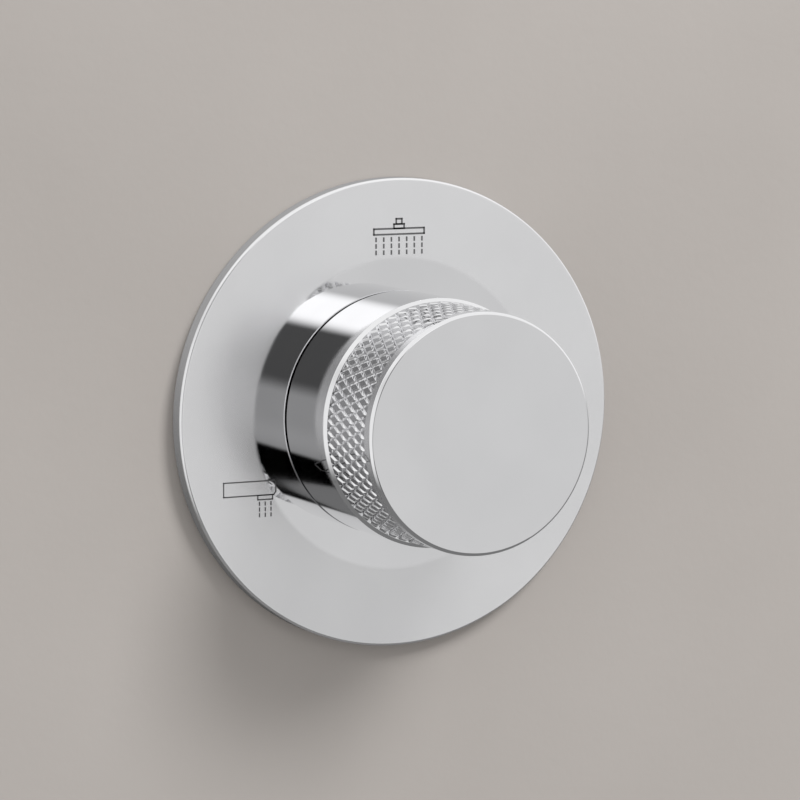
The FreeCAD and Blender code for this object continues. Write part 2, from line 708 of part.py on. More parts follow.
def make_housing():
    """Cartridge housing: windowed wall, roof with a seal groove, neck with bearing and two flats."""
    seal_z = f"({ROOF_Z} + housing_roof / 2)"
    groove_r = f"({CARTRIDGE_R} - body_seal_depth)"
    section = f"(({BODY_BORE_R} - {groove_r}) / 2)"
    blank = turned("housing_blank", [
        (DISC_POCKET_R, RIM_Z),
        (CARTRIDGE_R, RIM_Z),
        (CARTRIDGE_R, f"{seal_z} - {section} - slip"),
        (groove_r, f"{seal_z} - {section} - slip"),
        (groove_r, f"{seal_z} + {section} + slip"),
        (CARTRIDGE_R, f"{seal_z} + {section} + slip"),
        (CARTRIDGE_R, SHOULDER_Z),
        (HOUSING_NECK_R, SHOULDER_Z),
        (HOUSING_NECK_R, HOUSING_TOP_Z),
        (BEARING_R, HOUSING_TOP_Z),
        (BEARING_R, ROOF_Z),
        (DISC_POCKET_R, ROOF_Z),
    ])
    window_z = f"({MOVING_Z} + window_margin)"
    windows = [
        bar(f"housing_window_{angle}", f"2 * ({CARTRIDGE_R} + {OVERCUT})", "window_width",
            f"{FLANGE_Z} - window_margin - {window_z}", window_z, f"-{CARTRIDGE_R} - {OVERCUT}", angle)
        for angle in (0, 90)
    ]
    flats = [
        bar(f"housing_flat_{angle}", "2 * neck_flat", f"2 * {HOUSING_NECK_R}",
            f"{HOUSING_TOP_Z} - {STOP_Z} + {OVERCUT}", STOP_Z, f"{HOUSING_NECK_R} - neck_flat", angle)
        for angle in (90, 270)
    ]
    subpart(cut("housing_cut", blank, windows + flats), "cartridge_housing")
    seal = torus("body_seal_ring", f"{groove_r} + {section}", section, ("0", "0", seal_z))
    subpart(group("body_seal_node", [seal]), "body_seal")


def make_gland_nut():
    """Threaded ring with a hexagon head that holds the cartridge on its seat."""
    thread = cylinder("gland_thread", f"{GLAND_R} - slip", "gland_length", ("0", "0", SHOULDER_Z))
    head = hexagon("gland_head", f"{GLAND_R} + gland_hex_lip", "gland_hex_height", ("0", "0", GLAND_HEX_Z))
    bore = cylinder("gland_bore", f"{HOUSING_NECK_R} + slip", "gland_length + gland_hex_height",
                    ("0", "0", SHOULDER_Z))
    subpart(cut("gland_cut", joined("gland_joined", [thread, head]), [bore]), "gland_nut")


def make_stop_ring():
    """Ring keyed on the housing's flats, with a wall that leaves the lug its turn."""
    plate = cylinder("stop_plate", STOP_R, "stop_base", ("0", "0", STOP_Z))
    clear = "stop_lug_angle / 2 + stop_margin"
    wall = sector("stop_curve", STOP_Z, "stop_base + stop_height", f"{SECOND_PORT} + {clear}",
                  f"360 - turn_angle - 2 * ({clear})")
    round_bore = cylinder("stop_round_bore", f"{HOUSING_NECK_R} + slip", "stop_base", ("0", "0", STOP_Z))
    flat_bore = bar("stop_flat_bore", f"2 * ({HOUSING_NECK_R} + {OVERCUT})",
                    f"2 * ({HOUSING_NECK_R} - neck_flat + slip)", "stop_base", STOP_Z,
                    f"-{HOUSING_NECK_R} - {OVERCUT}")
    bore = doc.addObject("Part::MultiCommon", "stop_bore")
    bore.Shapes = [round_bore, flat_bore]
    subpart(cut("stop_cut", joined("stop_joined", [plate, wall]), [bore]), "stop_ring")


def body_blank():
    """Outside of the casting: block, neck, three port bosses with hexagon collars, and two ears."""
    solids = [
        cylinder("body_block", BLOCK_R, f"{BLOCK_TOP_Z} - {BLOCK_Z}", ("0", "0", BLOCK_Z)),
        cylinder("body_neck", NECK_R, f"{NECK_TOP_Z} - {BLOCK_Z}", ("0", "0", BLOCK_Z)),
    ]
    collar_start = "(boss_reach - collar_length)"
    for port, direction, across, up, height in (
            ("inlet", DOWN, "0", f"-{collar_start}", INLET_Z),
            ("right", RIGHT, collar_start, "0", OUTLET_Z),
            ("left", LEFT, f"-{collar_start}", "0", OUTLET_Z)):
        solids.append(cylinder(f"body_{port}_boss", "boss_radius", "boss_reach", ("0", "0", height),
                               direction))
        solids.append(hexagon(f"body_{port}_collar", "boss_radius + collar_lip", "collar_length",
                              (across, up, height), direction))
    ear_z = f"({BLOCK_TOP_Z} - ear_thickness)"
    for side, angle in (("right", "ear_angle"), ("left", "(180 - ear_angle)")):
        solids.append(cylinder(f"body_{side}_ear", "ear_radius", "ear_thickness",
                               at_angle(EAR_PITCH_R, angle, ear_z)))
        solids.append(bar(f"body_{side}_web", EAR_PITCH_R, "2 * ear_radius", "ear_thickness", ear_z, "0",
                          angle))
    return joined("body_joined", solids)


def body_tools():
    """Inside of the casting: cartridge bore, gland thread, ports with their passages, ear holes."""
    thread_start = "(boss_reach - thread_length)"
    tools = [
        cylinder("body_bore", BODY_BORE_R, f"{NECK_TOP_Z} - {SEAT_Z} + {OVERCUT}", ("0", "0", SEAT_Z)),
        cylinder("body_gland_bore", GLAND_R, f"{NECK_TOP_Z} - {SHOULDER_Z} + gland_step + {OVERCUT}",
                 ("0", "0", f"{SHOULDER_Z} - gland_step")),
        cylinder("inlet_thread", "thread_radius", f"thread_length + {OVERCUT}",
                 ("0", f"-{thread_start}", INLET_Z), DOWN),
        cylinder("inlet_way", "inlet_radius", thread_start, ("0", "0", INLET_Z), DOWN),
    ]
    for side, sign, direction in (("right", "", RIGHT), ("left", "-", LEFT)):
        tools.append(cylinder(f"{side}_thread", "thread_radius", f"thread_length + {OVERCUT}",
                              (f"{sign}{thread_start}", "0", OUTLET_Z), direction))
        tools.append(cylinder(f"{side}_way", "passage_radius", f"{thread_start} - passage_web + {OVERCUT}",
                              (f"{sign}passage_web", "0", OUTLET_Z), direction))
    tools += port_drills("body_port", OUTLET_Z, f"{SEAT_Z} - {OUTLET_Z} + {OVERCUT}")
    for side, angle in (("right", "ear_angle"), ("left", "(180 - ear_angle)")):
        tools.append(cylinder(f"{side}_ear_hole", "ear_hole", f"ear_thickness + 2 * {OVERCUT}",
                              at_angle(EAR_PITCH_R, angle, f"{BLOCK_TOP_Z} - ear_thickness - {OVERCUT}")))
    return tools


def make_valve_body():
    """Brass casting that is built into the wall."""
    subpart(cut("body_cut", body_blank(), body_tools()), "valve_body")


def check_and_write():
    """Stop on any failed object, then write each sub-part to its own file."""
    for item in doc.Objects:
        if "Invalid" in item.State or "Error" in item.State:
            raise RuntimeError(f"{item.Label} failed: {item.State}")
    for piece in subparts:
        if piece.Shape.isNull() or not piece.Shape.isValid():
            raise RuntimeError(f"{piece.Label} has no valid shape")
    os.makedirs("parts", exist_ok=True)
    for piece in subparts:
        piece.Shape.exportStep(f"parts/{piece.Label}.step")
        print(f"{piece.Label}: {len(piece.Shape.Solids)} solids, {piece.Shape.Volume:.1f} mm3")


make_plate()
make_plate_nut()
make_sleeve()
make_knob()
make_insert()
make_set_screw()
make_spindle()
make_spindle_fittings()
make_carrier()
make_moving_disc()
make_fixed_disc()
make_cartridge_base()
make_housing()
make_gland_nut()
make_stop_ring()
make_valve_body()
doc.recompute()
check_and_write()
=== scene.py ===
"""Looks of a concealed shower diverter: knurled chrome knob and plate on a pale wall, brass body behind it.

Lengths are in millimetres until something is placed in the scene. A round piece is drawn as radius and
height, where height is the distance out of the wall: 1 mm high lies at y = -0.001 in the shared frame.
"""
import bmesh
import bpy
import json
import math
from mathutils import Euler, Matrix, Vector


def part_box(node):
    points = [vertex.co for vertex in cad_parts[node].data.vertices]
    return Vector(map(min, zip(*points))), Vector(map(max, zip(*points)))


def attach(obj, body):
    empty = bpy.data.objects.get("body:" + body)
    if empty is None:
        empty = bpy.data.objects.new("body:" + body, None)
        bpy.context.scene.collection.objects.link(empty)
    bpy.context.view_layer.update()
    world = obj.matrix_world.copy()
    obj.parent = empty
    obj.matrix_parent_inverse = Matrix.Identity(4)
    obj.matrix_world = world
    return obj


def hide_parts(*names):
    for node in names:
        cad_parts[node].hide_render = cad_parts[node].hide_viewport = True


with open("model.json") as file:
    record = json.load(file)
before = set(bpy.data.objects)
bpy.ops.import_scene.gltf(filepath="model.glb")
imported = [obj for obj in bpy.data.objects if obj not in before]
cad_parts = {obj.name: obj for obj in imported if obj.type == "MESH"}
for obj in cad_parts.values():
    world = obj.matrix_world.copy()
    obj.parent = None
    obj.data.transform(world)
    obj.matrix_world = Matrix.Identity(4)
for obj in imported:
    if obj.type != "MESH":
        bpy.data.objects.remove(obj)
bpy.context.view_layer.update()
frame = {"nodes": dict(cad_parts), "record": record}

MM = 0.001


def reach(node):
    """A round node's outer radius, and the lowest and highest height that it reaches."""
    low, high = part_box(node)
    return high.x / MM, -high.y / MM, -low.y / MM


# Sizes taken from the frame
PLATE_R, PLATE_BACK, PLATE_FRONT = reach("escutcheon_plate")
SKIRT_R, BOSS_BACK, KNOB_FACE = reach("knob")
GASKET_R, _, GASKET_FRONT = reach("plate_gasket")
SLEEVE_R, SLEEVE_BACK, SLEEVE_FRONT = reach("extension_sleeve")
_, _, INSERT_FRONT = reach("spline_insert")

# How finely round forms are divided, and how far a cutter runs past what it cuts
ROUND_SEGMENTS = 384
THREAD_SEGMENTS = 96
THREAD_STEPS = 9
HOLE_SEGMENTS = 48
OVERCUT = 1.0

# Plate: polished out to one radius, satin from the next, and polished again on the rim
SLIP = 0.05
PLATE_BEVEL = 0.34
POLISHED_R = 26.1
SATIN_R = 27.0
RIM_WIDTH = 0.6
RIM_R = PLATE_R - RIM_WIDTH
POLISHED_ROUGHNESS = (0.03, 0.04)
SATIN_ROUGHNESS = (0.245, 0.255)
SATIN_METAL = 0.8
GASKET_WIDTH = 4.4

# Knob
FACE_BEVEL = 0.45
FRONT_LAND = 1.8
LAND_STEP = 0.9
SKIRT_EDGE = 0.12
SKIRT_WALL = 2.45
SKIRT_GAP = 0.5
SKIRT_BACK = PLATE_FRONT + SKIRT_GAP
KNOB_FRONT_WALL = 3.5
BOSS_R = 11.1
BOSS_BORE_R = 7.1
BOSS_TOP_GAP = 1.0
SCREW_HOLE_R = 2.55
SCREW_HEIGHT = 12.0

# Knurl: flat-topped diamonds between crossing grooves, tapering a little to the front land
KNURL_STEP = 0.55
KNURL_COUNT = 64
KNURL_ROWS = 6
KNURL_ROW = 2.27
KNURL_DEPTH = 0.50
KNURL_RELIEF = 0.04
GROOVE_SHARE = 0.18
EDGE_SHARE = 0.018
LAND_R = SKIRT_R - LAND_STEP
CREST_R = SKIRT_R - KNURL_STEP
ROW_TAPER = (CREST_R - LAND_R) / KNURL_ROWS
KNURL_FRONT = KNOB_FACE - FACE_BEVEL - FRONT_LAND
KNURL_BACK = KNURL_FRONT - KNURL_ROWS * KNURL_ROW

# Sleeve
SLEEVE_WALL = 1.8
SLEEVE_THREAD = 0.55
SLEEVE_PITCH = 1.5
END_LAND = 1.0
EDGE_BREAK = 0.3

# Valve body, with the heights of its ports from the record
MOUNTS = {mount["name"]: mount for mount in frame["record"]["mounts"]}
INLET_HEIGHT = -MOUNTS["inlet_port"]["pos_m"][1] / MM
OUTLET_HEIGHT = -MOUNTS["shower_port"]["pos_m"][1] / MM
THREAD_R = MOUNTS["inlet_port"]["dims"]["r_mm"]
THREAD_LENGTH = MOUNTS["inlet_port"]["dims"]["length_mm"]
EAR_HOLE_R = MOUNTS["fixing_ears"]["dims"]["hole_r_mm"]
PORT_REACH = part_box("valve_body")[1].x / MM
THREAD_PITCH = 1.814
THREAD_DEPTH = 0.95
COUNTERSINK = 1.1
BLOCK_R = 17.3
BLOCK_BACK = -62.5
NECK_R = 13.95
NECK_FRONT = -12.6
SEAT = -44.0
CARTRIDGE_BORE_R = 10.85
GLAND_BORE_R = 11.85
GLAND_BACK = -25.3
PORT_BOSS_R = 13.0
COLLAR_SIDES = 6
COLLAR_R = 15.6
COLLAR_LENGTH = 10.0
COLLAR_CHAMFER = 1.6
COLLAR_EDGE = 0.35
EAR_R = 6.5
EAR_PITCH_R = 25.0
EAR_THICKNESS = 6.0
EAR_ANGLES = (math.radians(45), math.radians(135))
FACED_R = 5.2
FACED_DEPTH = 0.2
DRILL_R = 2.4
DRILL_PITCH_R = 5.0
DRILL_ANGLES = (math.radians(30), math.radians(150))
STOCK = 1.2
CAST_GRID = 0.55
CAST_SMOOTHING = 9

# Turns that point an axis down, right and left, and each port's height, turn, and way's start and radius
TURN_DOWN = Matrix.Rotation(math.radians(90), 4, "X")
TURN_RIGHT = Matrix.Rotation(math.radians(90), 4, "Z")
TURN_LEFT = Matrix.Rotation(math.radians(-90), 4, "Z")
PORTS = (
    (INLET_HEIGHT, TURN_DOWN, (0.0, 6.0)),
    (OUTLET_HEIGHT, TURN_RIGHT, (1.5, 5.0)),
    (OUTLET_HEIGHT, TURN_LEFT, (1.5, 5.0)),
)

# Edges caught by the light
FINE_EDGE = 0.03
SOFT_EDGE = 0.14
SHARP_ANGLE = math.radians(32)


# Mesh helpers

def at(radius, angle, height):
    """A point by radius, angle and height, in metres in the shared frame."""
    return Vector((radius * math.cos(angle), -height, radius * math.sin(angle))) * MM


def rounded(corners, steps=5):
    """An open line of (radius, height, edge) corners, each rounded over its edge length."""
    line = []
    for index, (radius, height, edge) in enumerate(corners):
        here = Vector((radius, height))
        if not edge:
            line.append(here)
            continue
        back = (Vector(corners[index - 1][:2]) - here).normalized() * edge
        ahead = (Vector(corners[index + 1][:2]) - here).normalized() * edge
        for step in range(steps + 1):
            share = step / steps
            line.append(here + back * (1 - share) ** 2 + ahead * share ** 2)
    return line


def towards(height, turn):
    """Placement of a turned form whose axis starts on the knob's axis and points another way."""
    return Matrix.Translation(at(0, 0, height)) @ turn


def add(bm, part, matrix):
    """Put a copy of another mesh into this one, placed by a matrix, and drop the other."""
    bmesh.ops.transform(part, matrix=matrix, verts=part.verts)
    copies = {vert: bm.verts.new(vert.co) for vert in part.verts}
    for face in part.faces:
        bm.faces.new([copies[vert] for vert in face.verts])
    part.free()


def bridge(bm, first, second):
    """Faces between two rings of points, either of which may be a single point."""
    count = max(len(first), len(second))
    for index in range(count):
        after = index + 1
        corners = [first[index % len(first)], first[after % len(first)],
                   second[after % len(second)], second[index % len(second)]]
        bm.faces.new(list(dict.fromkeys(corners)))


def lathe(bm, line, segments=ROUND_SEGMENTS, closed=False):
    """Turn a line of radii and heights about the axis, and return its rings."""
    rings = []
    for radius, height in line:
        count = segments if radius else 1
        angles = [2 * math.pi * index / segments for index in range(count)]
        rings.append([bm.verts.new(at(radius, angle, height)) for angle in angles])
    for first, second in zip(rings, rings[1:]):
        bridge(bm, first, second)
    if closed:
        bridge(bm, rings[-1], rings[0])
    return rings


def rod(bm, radius, start, end, segments=THREAD_SEGMENTS):
    """A closed cylinder about the axis, between two heights."""
    lathe(bm, [(0, start), (radius, start), (radius, end), (0, end)], segments)


def solid(name, bm, *materials):
    """An object from the mesh, in the scene but not yet on a body."""
    bmesh.ops.recalc_face_normals(bm, faces=bm.faces)
    mesh = bpy.data.meshes.new(name)
    bm.to_mesh(mesh)
    bm.free()
    for material in materials:
        mesh.materials.append(material)
    piece = bpy.data.objects.new(name, mesh)
    bpy.context.scene.collection.objects.link(piece)
    return piece


def applied(piece, kind, **values):
    """Run one modifier over a piece for good."""
    modifier = piece.modifiers.new(kind.lower(), kind)
    for name, value in values.items():
        setattr(modifier, name, value)
    bpy.context.view_layer.objects.active = piece
    bpy.ops.object.modifier_apply(modifier=modifier.name)


def carve(piece, cutter, operation="DIFFERENCE"):
    """Take the cutter out of a piece, or join the two; the new faces have the cutter's finish."""
    applied(piece, "BOOLEAN", object=cutter, operation=operation, solver="EXACT", material_mode="TRANSFER")
    bpy.data.objects.remove(cutter)


def dressed(piece, body, slot, *nodes):
    """Smooth a piece except at its sharp edges, and let it ride on a body in place of CAD nodes."""
    piece.data.shade_smooth()
    piece.data.set_sharp_from_angle(angle=SHARP_ANGLE)
    normals = piece.modifiers.new("even_normals", "WEIGHTED_NORMAL")
    normals.keep_sharp = True
    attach(piece, body)
    if nodes:
        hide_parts(*nodes)


# Materials

# Where most of a noise's values lie
NOISE_LOW = 0.3
NOISE_HIGH = 0.7


def principled(name, **values):
    """A new material with the given values on its shader, and its node tree."""
    material = bpy.data.materials.new(name)
    material.use_nodes = True
    shader = material.node_tree.nodes["Principled BSDF"]
    for socket, value in values.items():
        shader.inputs[socket.replace("_", " ")].default_value = value
    return material, material.node_tree, shader


def noise(tree, scale, detail=3.0, stretch=(1.0, 1.0, 1.0)):
    """Noise in the object's own coordinates, stretched along an axis if wanted."""
    place = tree.nodes.new("ShaderNodeTexCoord")
    mapping = tree.nodes.new("ShaderNodeMapping")
    mapping.inputs["Scale"].default_value = stretch
    texture = tree.nodes.new("ShaderNodeTexNoise")
    texture.inputs["Scale"].default_value = scale
    texture.inputs["Detail"].default_value = detail
    tree.links.new(place.outputs["Object"], mapping.inputs["Vector"])
    tree.links.new(mapping.outputs["Vector"], texture.inputs["Vector"])
    return texture.outputs["Fac"]


def spread(tree, source, low, high):
    """Noise about its middle, mapped between two values."""
    ranged = tree.nodes.new("ShaderNodeMapRange")
    ranged.inputs["From Min"].default_value = NOISE_LOW
    ranged.inputs["From Max"].default_value = NOISE_HIGH
    ranged.inputs["To Min"].default_value = low
    ranged.inputs["To Max"].default_value = high
    tree.links.new(source, ranged.inputs["Value"])
    return ranged.outputs["Result"]


def blended(tree, source, first, second):
    """A colour between two, by noise."""
    ramp = tree.nodes.new("ShaderNodeValToRGB")
    ramp.color_ramp.elements[0].position = NOISE_LOW
    ramp.color_ramp.elements[0].color = (*first, 1.0)
    ramp.color_ramp.elements[1].position = NOISE_HIGH
    ramp.color_ramp.elements[1].color = (*second, 1.0)
    tree.links.new(source, ramp.inputs["Fac"])
    return ramp.outputs["Color"]


def from_axis(tree):
    """Distance from the knob's axis."""
    place = tree.nodes.new("ShaderNodeTexCoord")
    across = tree.nodes.new("ShaderNodeVectorMath")
    across.operation = "MULTIPLY"
    across.inputs[1].default_value = (1.0, 0.0, 1.0)
    radius = tree.nodes.new("ShaderNodeVectorMath")
    radius.operation = "LENGTH"
    tree.links.new(place.outputs["Object"], across.inputs[0])
    tree.links.new(across.outputs["Vector"], radius.inputs[0])
    return radius.outputs["Value"]


def faded(tree, source, start, end, first=None, second=None, levels=(0.0, 1.0)):
    """A smooth change between two levels, or two other outputs, over a span of the source."""
    ranged = tree.nodes.new("ShaderNodeMapRange")
    ranged.interpolation_type = "SMOOTHSTEP"
    ranged.inputs["From Min"].default_value = start
    ranged.inputs["From Max"].default_value = end
    tree.links.new(source, ranged.inputs["Value"])
    for name, level, output in zip(("To Min", "To Max"), levels, (first, second)):
        ranged.inputs[name].default_value = level
        if output:
            tree.links.new(output, ranged.inputs[name])
    return ranged.outputs["Result"]


def bumped(tree, shader, source, strength, distance):
    """Fine relief from a noise."""
    bump = tree.nodes.new("ShaderNodeBump")
    bump.inputs["Strength"].default_value = strength
    bump.inputs["Distance"].default_value = distance * MM
    tree.links.new(source, bump.inputs["Height"])
    tree.links.new(bump.outputs["Normal"], shader.inputs["Normal"])


def chrome_material(name, first, second, smooth, dull):
    """Polished plating: faint cloudiness in colour, polishing marks in roughness."""
    material, tree, shader = principled(name, Metallic=1.0)
    clouds = noise(tree, 60.0)
    marks = noise(tree, 900.0, stretch=(1.0, 1.0, 0.08))
    tree.links.new(blended(tree, clouds, first, second), shader.inputs["Base Color"])
    tree.links.new(spread(tree, marks, smooth, dull), shader.inputs["Roughness"])
    return material


def grained_material(name, first, second, metallic, smooth, dull, scale, relief, stretch=(1.0, 1.0, 1.0)):
    """A material whose colour, roughness and relief vary with one grain."""
    material, tree, shader = principled(name, Metallic=metallic)
    grain = noise(tree, scale, 5.0, stretch)
    tree.links.new(blended(tree, noise(tree, scale / 12), first, second), shader.inputs["Base Color"])
    tree.links.new(spread(tree, grain, smooth, dull), shader.inputs["Roughness"])
    bumped(tree, shader, grain, 0.6, relief)
    return material


def plate_material(name):
    """Plating that is mirror bright round the knob and on the rim, and satin between."""
    material, tree, shader = principled(name)
    radius = from_axis(tree)
    satin = spread(tree, noise(tree, 300.0), *SATIN_ROUGHNESS)
    polish = spread(tree, noise(tree, 300.0), *POLISHED_ROUGHNESS)
    rough = faded(tree, radius, POLISHED_R * MM, SATIN_R * MM, polish, satin)
    rough = faded(tree, radius, RIM_R * MM, (RIM_R + SLIP) * MM, rough, polish)
    tree.links.new(rough, shader.inputs["Roughness"])
    metal = faded(tree, radius, POLISHED_R * MM, SATIN_R * MM, levels=(1.0, SATIN_METAL))
    tree.links.new(metal, shader.inputs["Metallic"])
    clouds = blended(tree, noise(tree, 60.0), (0.79, 0.79, 0.80), (0.83, 0.83, 0.84))
    tree.links.new(clouds, shader.inputs["Base Color"])
    return material


MATERIALS = {
    "chrome": plate_material("chrome"),
    "knob_chrome": chrome_material("knob_chrome", (0.81, 0.81, 0.82), (0.85, 0.85, 0.86), 0.03, 0.05),
    "cast_brass": grained_material(
        "cast_brass", (0.60, 0.42, 0.19), (0.72, 0.54, 0.28), 1.0, 0.38, 0.55, 1400.0, 0.05),
    "turned_brass": grained_material(
        "turned_brass", (0.74, 0.56, 0.28), (0.80, 0.64, 0.36), 1.0, 0.20, 0.34, 1200.0, 0.01,
        stretch=(0.2, 6.0, 0.2)),
    "steel": grained_material(
        "steel", (0.50, 0.50, 0.51), (0.60, 0.60, 0.61), 1.0, 0.25, 0.38, 1500.0, 0.008),
    "white_plastic": grained_material(
        "white_plastic", (0.80, 0.80, 0.77), (0.86, 0.86, 0.84), 0.0, 0.38, 0.5, 900.0, 0.008),
    "grey_plastic": grained_material(
        "grey_plastic", (0.25, 0.26, 0.28), (0.31, 0.32, 0.34), 0.0, 0.42, 0.55, 900.0, 0.01),
    "ceramic": grained_material(
        "ceramic", (0.88, 0.86, 0.80), (0.93, 0.92, 0.88), 0.0, 0.12, 0.22, 500.0, 0.003),
    "rubber": grained_material(
        "rubber", (0.018, 0.018, 0.019), (0.035, 0.035, 0.036), 0.0, 0.5, 0.68, 1100.0, 0.012),
    "foam": grained_material(
        "foam", (0.55, 0.55, 0.54), (0.72, 0.72, 0.71), 0.0, 0.85, 0.98, 1600.0, 0.12),
}

# A darker colour on the knurl's flat tops, which is painted shade standing in for the dark surroundings they
# mirror, and the signs' paint
PAINTED_SHADE_KNURL_TOPS = chrome_material("knurl_tops_painted_shade", (0.46, 0.46, 0.47), (0.54, 0.54, 0.55), 0.03, 0.05)
SIGN_GREY = grained_material(
    "sign_grey", (0.070, 0.070, 0.072), (0.105, 0.105, 0.108), 0.0, 0.45, 0.6, 2500.0, 0.004)


# Knob

def knurl(bm):
    """Diamonds with eased edges between two families of helical grooves; returns the rings at both ends.

    Along a row line run a groove crossing, then the left edge, middle and right edge of a diamond. The flat
    tops take the piece's second material, a darker colour that is painted shade.
    """
    crest = CREST_R - KNURL_RELIEF
    eased = crest - KNURL_DEPTH * EDGE_SHARE / GROOVE_SHARE
    foot = GROOVE_SHARE - EDGE_SHARE
    top = GROOVE_SHARE + EDGE_SHARE
    places = {
        "crossing": (0.0, 0.0, crest - KNURL_DEPTH),
        "left_foot": (foot, 0.0, eased),
        "left": (top, 0.0, crest),
        "middle": (0.5, 0.0, crest),
        "right": (1.0 - top, 0.0, crest),
        "right_foot": (1.0 - foot, 0.0, eased),
        "upper": (0.5, 1.0 - 2.0 * top, crest),
        "upper_foot": (0.5, 1.0 - 2.0 * foot, eased),
        "lower": (0.0, 2.0 * top, crest),
        "lower_foot": (0.0, 2.0 * foot, eased),
    }
    made = {}

    def point(kind, line, index):
        key = (kind, line, index % KNURL_COUNT)
        if key not in made:
            shift, rise, radius = places[kind]
            angle = 2 * math.pi * (index + shift + 0.5 * (line % 2)) / KNURL_COUNT
            rows = line + rise
            made[key] = bm.verts.new(at(radius - rows * ROW_TAPER, angle, KNURL_BACK + rows * KNURL_ROW))
        return made[key]

    for line in range(KNURL_ROWS):
        for index in range(KNURL_COUNT):
            over = index - 1 + line % 2
            crossing = point("crossing", line, index)
            cross_left = point("crossing", line + 1, over)
            cross_right = point("crossing", line + 1, over + 1)
            left, left_foot, middle, right, right_foot, upper, upper_foot = (
                point(kind, line, index) for kind in
                ("left", "left_foot", "middle", "right", "right_foot", "upper", "upper_foot"))
            lower, lower_foot = (point(kind, line, index) for kind in ("lower", "lower_foot"))
            last_right_foot, last_upper_foot = (
                point(kind, line, index - 1) for kind in ("right_foot", "upper_foot"))
            high_left, high_left_foot, high_middle, high_right, high_right_foot = (
                point(kind, line + 1, over) for kind in
                ("left", "left_foot", "middle", "right", "right_foot"))
            tops = [
                (left, middle, upper), (middle, right, upper),
                (lower, high_middle, high_left), (lower, high_right, high_middle),
            ]
            flanks = [
                (left_foot, left, upper, upper_foot), (upper, right, right_foot, upper_foot),
                (lower_foot, lower, high_left, high_left_foot),
                (lower, lower_foot, high_right_foot, high_right),
                (crossing, left_foot, upper_foot, cross_right),
                (crossing, cross_right, high_right_foot, lower_foot),
                (crossing, lower_foot, high_left_foot, cross_left),
                (crossing, cross_left, last_upper_foot, last_right_foot),
            ]
            # The flat tops get the darker colour, which is painted shade
            for corners in tops:
                bm.faces.new(corners).material_index = 1
            for corners in flanks:
                bm.faces.new(corners)
    order = ("crossing", "left_foot", "left", "middle", "right", "right_foot")
    return [[point(kind, line, index) for index in range(KNURL_COUNT) for kind in order]
            for line in (0, KNURL_ROWS)]


def knob_mesh():
    """The knob's closed skin: turned front and inside, joined by the knurl."""
    bm = bmesh.new()
    back_loop, front_loop = knurl(bm)
    face_rings = [(share * LAND_R, KNOB_FACE, 0) for share in (0.8, 0.5, 0.2, 0.0)]
    front = lathe(bm, rounded([
        (LAND_R, KNURL_FRONT, 0),
        (LAND_R, KNOB_FACE - FACE_BEVEL, SOFT_EDGE),
        (LAND_R - FACE_BEVEL, KNOB_FACE, SOFT_EDGE),
        *face_rings,
    ]))
    bore = SKIRT_R - SKIRT_WALL
    inner = KNOB_FACE - KNOB_FRONT_WALL
    inside = lathe(bm, rounded([
        (0, INSERT_FRONT + BOSS_TOP_GAP, 0),
        (BOSS_BORE_R, INSERT_FRONT + BOSS_TOP_GAP, 0),
        (BOSS_BORE_R, BOSS_BACK, 0),
        (BOSS_R, BOSS_BACK, 0),
        (BOSS_R, inner, 0),
        (bore, inner, 0),
        (bore, SKIRT_BACK, FINE_EDGE),
        (SKIRT_R - SKIRT_EDGE, SKIRT_BACK, FINE_EDGE),
        (SKIRT_R, SKIRT_BACK + SKIRT_EDGE, FINE_EDGE),
        (SKIRT_R, KNURL_BACK - KNURL_STEP, SOFT_EDGE),
        (CREST_R, KNURL_BACK, 0),
    ]))
    bridge(bm, front_loop, front[0])
    bridge(bm, inside[-1], back_loop)
    return bm


def make_knob():
    """Knob with the set screw's way drilled through its skirt and boss from below."""
    finish = MATERIALS["knob_chrome"]
    # The second material darkens the knurl's flat tops as painted shade
    knob = solid("knurled_knob", knob_mesh(), finish, PAINTED_SHADE_KNURL_TOPS)
    bm = bmesh.new()
    rod(bm, SCREW_HOLE_R, BOSS_BORE_R - OVERCUT, SKIRT_R + OVERCUT, HOLE_SEGMENTS)
    bmesh.ops.transform(bm, matrix=towards(SCREW_HEIGHT, TURN_DOWN), verts=bm.verts)
    carve(knob, solid("screw_way", bm, finish))
    dressed(knob, "knob", "knob_chrome", "knob")


# Plate

def make_plate():
    """Plate with a bevelled, softly broken front edge and the gasket's recess behind."""
    bore = SLEEVE_R + SLIP
    recess = GASKET_R + SLIP
    recess_inner = recess - GASKET_WIDTH - 2 * SLIP
    bm = bmesh.new()
    lathe(bm, rounded([
        (bore, PLATE_BACK, 0),
        (recess_inner, PLATE_BACK, 0),
        (recess_inner, GASKET_FRONT, 0),
        (recess, GASKET_FRONT, 0),
        (recess, PLATE_BACK, 0),
        (PLATE_R, PLATE_BACK, FINE_EDGE),
        (PLATE_R, PLATE_FRONT - PLATE_BEVEL, SOFT_EDGE),
        (PLATE_R - PLATE_BEVEL, PLATE_FRONT, SOFT_EDGE),
        (SKIRT_R, PLATE_FRONT, 0),
        (bore, PLATE_FRONT, 0),
    ]), closed=True)
    dressed(solid("wall_plate", bm, MATERIALS["chrome"]), "valve", "chrome", "escutcheon_plate")


# Signs on the plate, across and up from its centre
SIGN_HEIGHT = 0.02
JET_DASHES = 3

# Overhead shower: half width and height of its head, nut and pipe from below, and the jets under it
RAIN_LINE = 0.30
RAIN_ACROSS = 0.2
RAIN_BOTTOM = 30.50
RAIN_BOXES = ((4.7, 0.96), (0.95, 0.75), (0.53, 0.89))
RAIN_JETS = 7
RAIN_JET_PITCH = 1.43
RAIN_JET_TOP = 30.05
RAIN_DASH = 0.8
RAIN_DASH_GAP = 0.3

